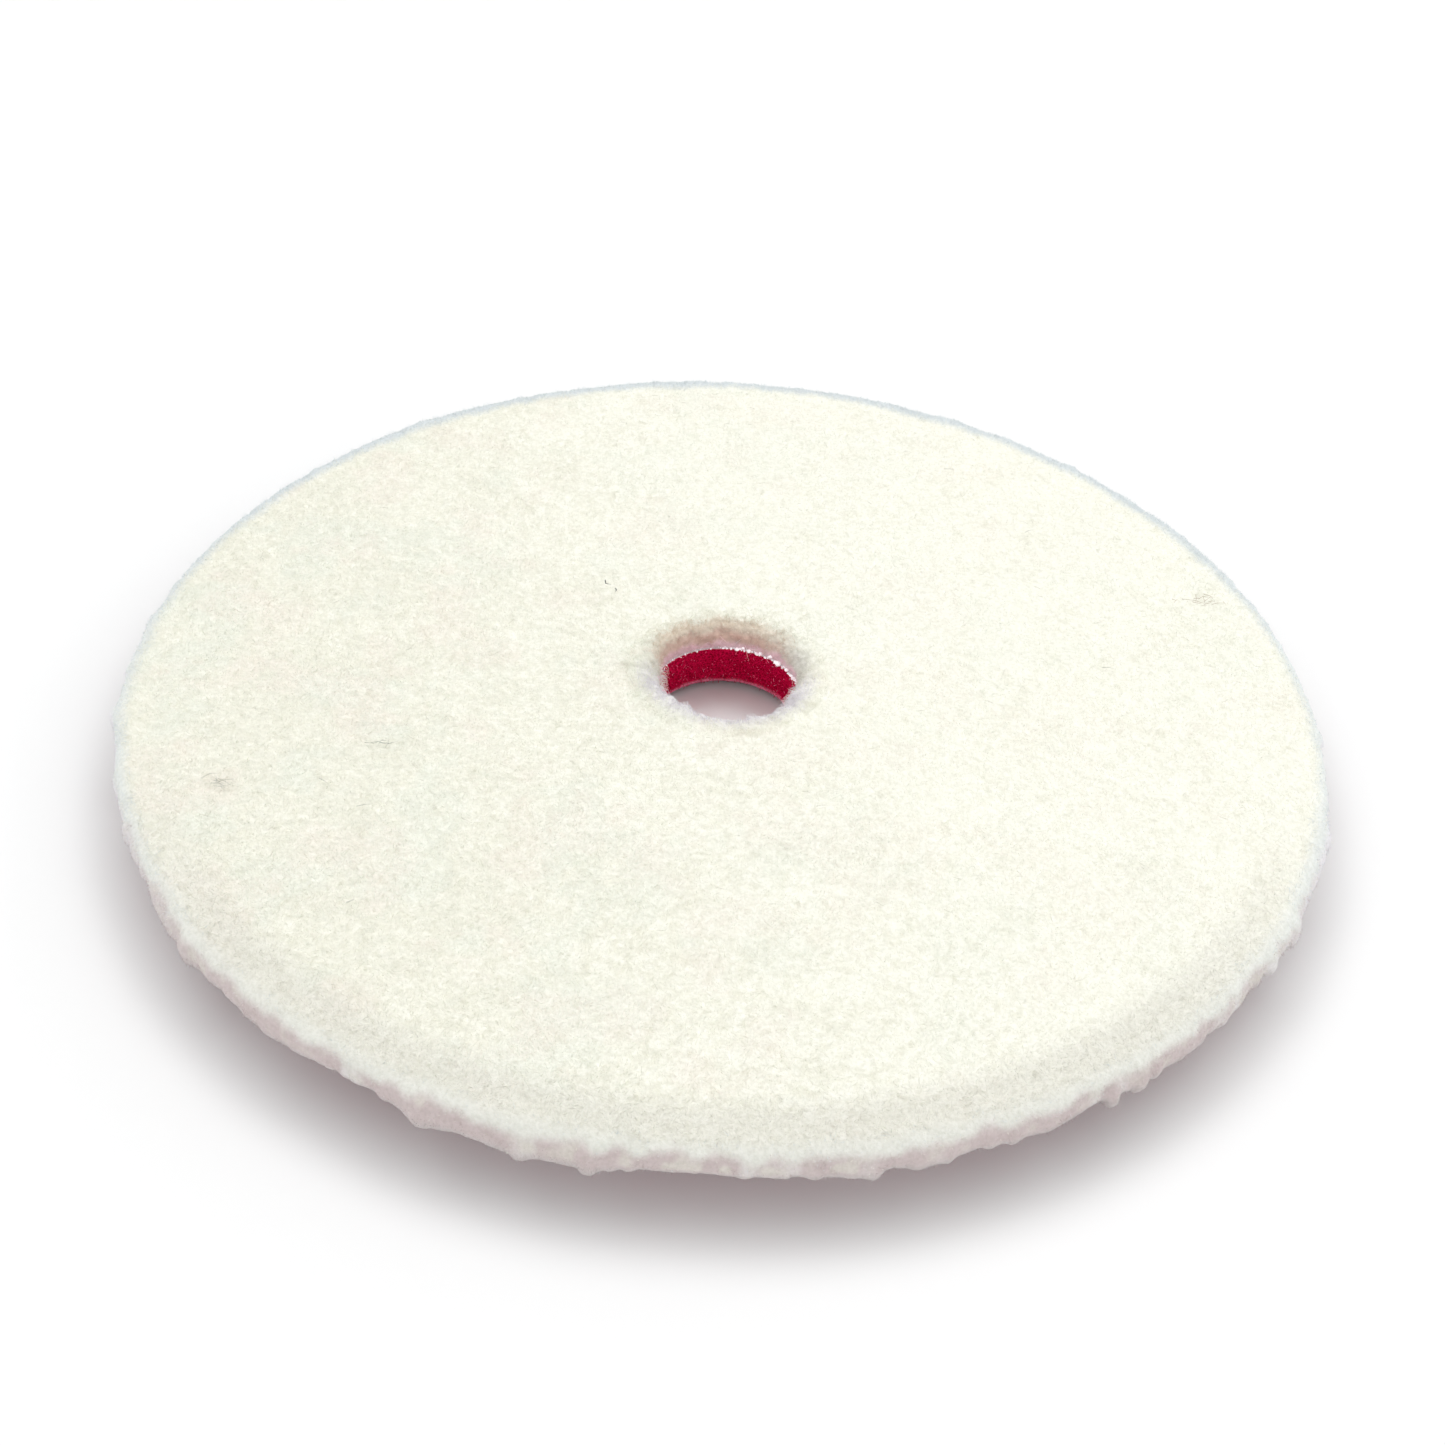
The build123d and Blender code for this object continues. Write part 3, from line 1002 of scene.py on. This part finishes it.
def make_beads(material):
    """Cut yarn ends of the ground cloth, melted into bright beads round the hole."""
    rng = np.random.default_rng(501)
    count = int(TURN * HOLE_R / (0.22 * MM))
    angle = (np.arange(count) + 0.35 * rng.normal(size=count)) * TURN / count
    # more and larger glowing beads gather round 30 degrees, where their glow stands in for the strongest
    # sparkle: a painted highlight
    heap = eased(np.cos(angle - math.radians(30)), 0.1, 1.0)
    kept = rng.random(count) < 0.45 + 0.55 * heap
    angle, heap, count = angle[kept], heap[kept], int(kept.sum())
    size = (0.06 + 0.03 * heap + (0.09 + 0.16 * heap) * rng.random(count) ** 2) * MM
    r = HOLE_R - 0.20 * MM + 0.07 * MM * rng.normal(size=count)
    z = CLOTH_LOW + (CLOTH_HIGH - CLOTH_LOW) * (0.5 + 0.4 * rng.normal(size=count))
    z = z + 0.5 * MM * heap * rng.random(count) ** 2
    centre = from_polar(angle, r, z)
    ball, ball_faces = ball_points()
    squash = 1 + 0.35 * rng.normal(size=(count, 1, 3)).clip(-1.2, 1.2)
    points = centre[:, None, :] + ball[None] * size[:, None, None] * squash
    faces = ball_faces[None] + np.arange(count)[:, None, None] * len(ball)
    return new_piece("ground_cloth_cut_ends", points.reshape(-1, 3), [faces.reshape(-1, 3)], [material])


TINY = 1e-12  # keeps a division by zero out


def tubes(path, radius, sides):
    """Closed tubes along many paths at once. path is tubes x points x 3. Returns points and faces."""
    many, steps, _ = path.shape
    along = unit(np.gradient(path, axis=1))
    flat = np.cross(path[:, -1] - path[:, 0], path[:, steps // 2] - path[:, 0])
    flat = flat / (np.linalg.norm(flat, axis=1)[:, None] + TINY)
    side = np.repeat(flat[:, None, :], steps, axis=1)
    side = unit(side - (side * along).sum(2)[:, :, None] * along)
    other = np.cross(along, side)
    turn = np.arange(sides) * TURN / sides
    round_it = side[:, :, None, :] * np.cos(turn)[:, None] + other[:, :, None, :] * np.sin(turn)[:, None]
    points = path[:, :, None, :] + round_it * np.asarray(radius).reshape(-1, 1, 1, 1)
    base = np.arange(many)[:, None] * steps * sides
    quads = []
    for k in range(steps - 1):
        for i in range(sides):
            a, b = k * sides + i, k * sides + (i + 1) % sides
            quads.append(base + np.array((a, b, b + sides, a + sides)))
    fan = [base + np.array((0, i + 1, i)) for i in range(1, sides - 1)]
    last = (steps - 1) * sides
    fan += [base + np.array((last, last + i, last + i + 1)) for i in range(1, sides - 1)]
    return points.reshape(-1, 3), [np.concatenate(quads), np.concatenate(fan)]


LOOP_PIECES = 3


def make_loops(material):
    """The standing loops of the backing: uneven arches that lean every way, flattened by the pad's weight."""
    rng = np.random.default_rng(401)
    pitch = 1.32 * MM
    steps = int(2 * BACKING_R / pitch) + 2
    grid_x, grid_y = np.meshgrid(np.arange(steps) - steps / 2, np.arange(steps) - steps / 2)
    grid_x = grid_x + 0.5 * (np.arange(steps) % 2)[:, None]
    foot = np.stack([grid_x.ravel(), grid_y.ravel() * 0.9], 1) * pitch
    foot = foot + rng.normal(size=(steps * steps, 2)) * 0.16 * MM
    r, margin = from_axis(foot), 0.45 * MM
    foot = foot[(r < BACKING_R - margin) & (r > BACKING_HOLE_R + margin)]
    many = len(foot)
    heading = rng.random(many) * TURN
    wide = (0.34 + 0.14 * rng.random(many)) * MM
    lean_way = rng.random(many) * TURN
    lean_far = 0.42 * rng.random(many) * MM
    radius = (0.045 + 0.02 * rng.random(many)) * MM
    depth = (LOOP_HIGH - LOOP_LOW) * (0.72 + 0.26 * rng.random(many)) - radius
    t = np.linspace(-0.12, 1.12, 8)
    out = np.cos(math.pi * t) * wide[:, None] * np.where(np.abs(t - 0.5) > 0.5, 0.8, 1.0)
    down = np.sin(math.pi * np.clip(t, 0, 1)) ** 0.8 * depth[:, None]
    fall = down / depth.mean()
    x = foot[:, :1] + out * np.cos(heading)[:, None] + fall * (lean_far * np.cos(lean_way))[:, None]
    y = foot[:, 1:] + out * np.sin(heading)[:, None] + fall * (lean_far * np.sin(lean_way))[:, None]
    sunk = np.where((t < 0) | (t > 1), 0.12 * MM, 0.0)
    path = np.stack([x, y, LOOP_HIGH - down + sunk], 2)
    pieces = []
    for k in range(LOOP_PIECES):
        mine = np.arange(many) % LOOP_PIECES == k
        points, faces = tubes(path[mine], radius[mine], 3)
        pieces.append(new_piece(f"backing_loops_{k + 1}", points, faces, [material]))
    return pieces


white_knit = knit_material("ground_knit", (0.85, 0.77, 0.79), 0.42 * MM)
ground_cloth = thin_ring(
    "ground_knit_cloth", white_knit, HOLE_R, CLOTH_R, "ground_cloth", stitched_edge, 4 * MM, 1024
)
# Clear melted yarn sparkles in hard light: a weak glow stands in for that
cut_yarn, _, _, cut_yarn_shader = shader("melted_yarn_ends", (1.0, 0.97, 1.0), 0.25, specular=0.8)
cut_yarn_shader.inputs["Emission Color"].default_value = (1.0, 0.93, 0.96, 1.0)
cut_yarn_shader.inputs["Emission Strength"].default_value = 0.3
cut_ends = make_beads(cut_yarn)
for piece in (ground_cloth, cut_ends):
    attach(piece, "root")
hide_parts("ground_cloth")

bond = film_material("set_adhesive", (0.80, 0.62, 0.66))
face_film = thin_ring("face_bond", bond, HOLE_R, CLOTH_R, "face_bond_film", oozed_edge, 8 * MM, 512)
back_film = thin_ring(
    "backing_bond", bond, BACKING_HOLE_R, BACKING_R, "backing_bond_film", oozed_edge, 8 * MM, 512
)
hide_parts("face_bond_film")
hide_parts("backing_bond_film")
for piece in (face_film, back_film):
    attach(piece, "root")

loop_knit = knit_material("loop_base_knit", (0.80, 0.77, 0.79), 0.66 * MM)
loop_cloth = thin_ring(
    "loop_base_cloth", loop_knit, BACKING_HOLE_R, BACKING_R, "loop_cloth", stitched_edge, 2 * MM, 1024
)
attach(loop_cloth, "root")
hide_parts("loop_cloth")

loop_yarn = shader("loop_yarn", (0.86, 0.84, 0.87), 0.7, sheen=0.3)[0]
loop_pieces = make_loops(loop_yarn)
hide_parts("loop_pile")
for piece in loop_pieces:
    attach(piece, "root")

# ---------------- stage


FLOOR_HALF = 3.0


def make_stage():
    """A plain pale floor at z = 0."""
    corners = np.array([(-1, -1, 0), (1, -1, 0), (1, 1, 0), (-1, 1, 0)]) * FLOOR_HALF
    paper = shader("paper_floor", (0.868, 0.872, 0.872), 0.9, specular=0.2)[0]
    floor = new_piece("floor", corners, [[(0, 1, 2, 3)]], [paper], smooth=False)


LIGHT_PEAK = 3.68  # the brightest part of the dome
# Brightness of the dome, as a share of LIGHT_PEAK, by the sine of the height above the horizon
FRONT_DOME = [(0, 0.30), (0.20, 0.30), (0.27, 0.40), (0.68, 0.40), (0.76, 0.02), (0.97, 0.04), (1, 0.06)]
BACK_DOME = [(0, 0.30), (0.33, 0.30), (0.40, 0.08), (0.71, 0.08)]
BACK_DOME += [(0.76, 1), (0.90, 1), (0.935, 0.40), (1, 0.06)]
SIDE_LIGHT = {"place": (0.24, 0.20, 0.25), "size": 0.24, "watts": 0.12}


def make_lights():
    """A studio dome: a white horizon, a low broad light on the near side and a high one on the far side."""
    world = bpy.data.worlds.new("studio")
    bpy.context.scene.world = world
    world.use_nodes = True
    nodes, links = world.node_tree.nodes, world.node_tree.links
    direction = nodes.new("ShaderNodeTexCoord").outputs["Generated"]
    split = add_node(nodes, links, "ShaderNodeSeparateXYZ", Vector=direction)
    front, back = [
        colour_ramp(nodes, links, split.outputs["Z"], [(place, (level,) * 3) for place, level in dome])
        for dome in (FRONT_DOME, BACK_DOME)
    ]
    level = nodes.new("ShaderNodeVectorMath")
    level.operation = "MULTIPLY"
    links.new(direction, level.inputs[0])
    level.inputs[1].default_value = (1, 1, 0)
    bearing = nodes.new("ShaderNodeVectorMath")
    bearing.operation = "NORMALIZE"
    links.new(level.outputs["Vector"], bearing.inputs[0])
    turn = add_node(nodes, links, "ShaderNodeSeparateXYZ", Vector=bearing.outputs["Vector"])
    side = add_node(nodes, links, "ShaderNodeMapRange", Value=turn.outputs["Y"], From_Min=-1, From_Max=1)
    side.interpolation_type = "SMOOTHSTEP"
    sky = mix_colours(nodes, links, front, back)
    links.new(side.outputs["Result"], sky.inputs["Factor"])
    background = nodes["Background"]
    links.new(sky.outputs["Result"], background.inputs["Color"])
    background.inputs["Strength"].default_value = LIGHT_PEAK
    data = bpy.data.lights.new("side_light", "AREA")
    data.shape = "DISK"
    data.size = SIDE_LIGHT["size"]
    data.energy = SIDE_LIGHT["watts"]
    lamp = add_object("side_light", data)
    lamp.location = SIDE_LIGHT["place"]
    lamp.rotation_euler = Vector(SIDE_LIGHT["place"]).to_track_quat("Z", "Y").to_euler()
    lamp.visible_camera = False


# The fitted view. Lens and sensor in mm, angles in radians
LENS, SENSOR = 45.04, 36.0
CAMERA_AWAY = 3.04 * 83.0 * MM
ELEVATION, YAW, PITCH, ROLL = 0.664, 0.0007, -0.0293, -0.0611


def make_camera():
    """A camera that faces the middle of the pile, with the small turns that put the pad in the frame."""
    offset = Vector((0, -math.cos(ELEVATION), math.sin(ELEVATION))) * CAMERA_AWAY
    forward = -offset.normalized()
    right = forward.cross(Vector((0, 0, 1))).normalized()
    up = right.cross(forward)
    axes = [right, up, forward]
    for which, angle in ((1, YAW), (0, PITCH), (2, ROLL)):
        turn = Matrix.Rotation(angle, 3, axes[which])
        axes = [turn @ axis for axis in axes]
    right, up, forward = axes
    camera_data = bpy.data.cameras.new("camera")
    camera_data.lens = LENS
    camera_data.sensor_width = SENSOR
    camera_data.clip_start = 0.01
    camera = add_object("camera", camera_data)
    rotation = Matrix((right, up, -forward)).transposed()
    camera.matrix_world = Matrix.Translation(Vector((0, 0, TOP_Z)) + offset) @ rotation.to_4x4()
    bpy.context.scene.camera = camera


make_stage()
make_lights()
make_camera()
bpy.context.scene.view_settings.view_transform = "Standard"
bpy.context.scene.view_settings.look = "None"
